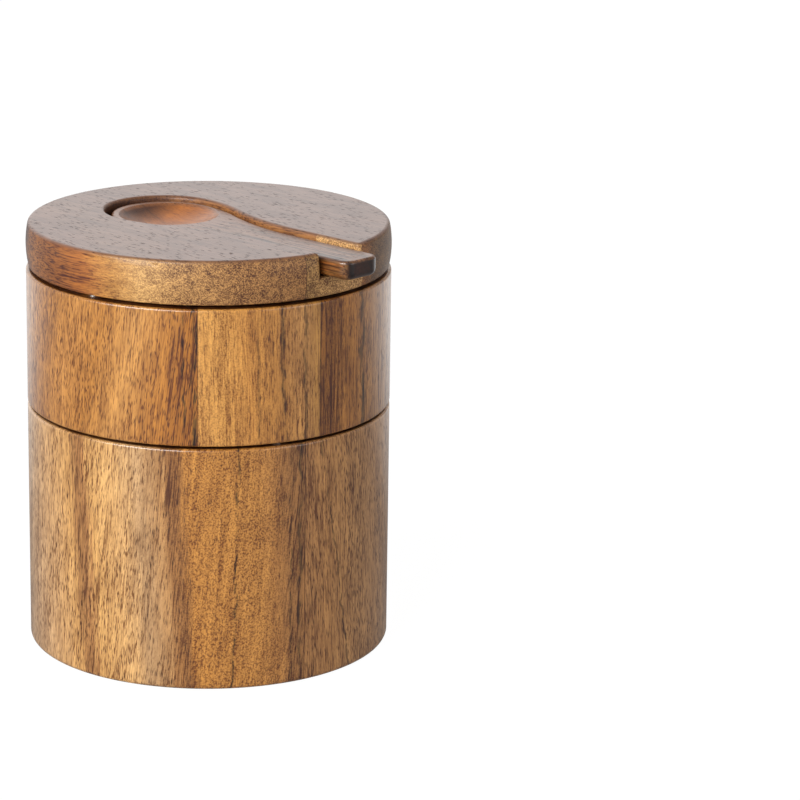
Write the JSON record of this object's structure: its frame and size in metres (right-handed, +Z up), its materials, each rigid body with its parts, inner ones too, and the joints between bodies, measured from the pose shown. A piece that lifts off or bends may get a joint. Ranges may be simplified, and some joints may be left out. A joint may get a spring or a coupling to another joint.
{
  "type": "two-tier spice box with swivel lid and spoon",
  "caption": "Round two-tier wooden spice box: each tier and the lid swivel on an upright pin near the rim, and a wooden spoon lies in a recess across the lid.",
  "frame": {"origin": "centre of the base, on the turned axis", "axes": "+Z up, +Y to the back, +X to the right; the spoon's handle points between +X and -Y"},
  "size_m": [0.11, 0.11, 0.1302],
  "materials": {
    "lower_wood": "turned acacia, satin clear lacquer, vertical grain",
    "upper_wood": "turned acacia, satin clear lacquer, vertical grain",
    "lid_wood": "acacia boards, satin clear lacquer, flat grain on top",
    "spoon_wood": "acacia, satin clear lacquer, grain along the handle",
    "pin_steel": "ground steel dowel pin",
    "magnet_nickel": "nickel plate"
  },
  "bodies": {
    "base": {"lower_box": "lower_wood", "tier_pivot_pin": "pin_steel", "lower_rim_magnet": "magnet_nickel"},
    "upper_tier": {"upper_box": "upper_wood", "upper_base_magnet": "magnet_nickel", "upper_rim_magnet": "magnet_nickel", "lid_pivot_pin": "pin_steel"},
    "lid": {"lid": "lid_wood", "lid_magnet": "magnet_nickel"},
    "spoon": {"spoon": "spoon_wood"}
  },
  "joints": [
    {"name": "tier_swivel", "type": "hinge", "parent": "base", "child": "upper_tier", "pos_m": [0.01934, -0.04557, 0.0741], "axis": [0, 0, 1], "continuous": true},
    {"name": "lid_swivel", "type": "hinge", "parent": "upper_tier", "child": "lid", "pos_m": [-0.03312, -0.03679, 0.116], "axis": [0, 0, 1], "continuous": true},
    {"name": "spoon_lift", "type": "slide", "parent": "lid", "child": "spoon", "axis": [0, 0, 1], "range_m": [0, 0.06]}
  ]
}
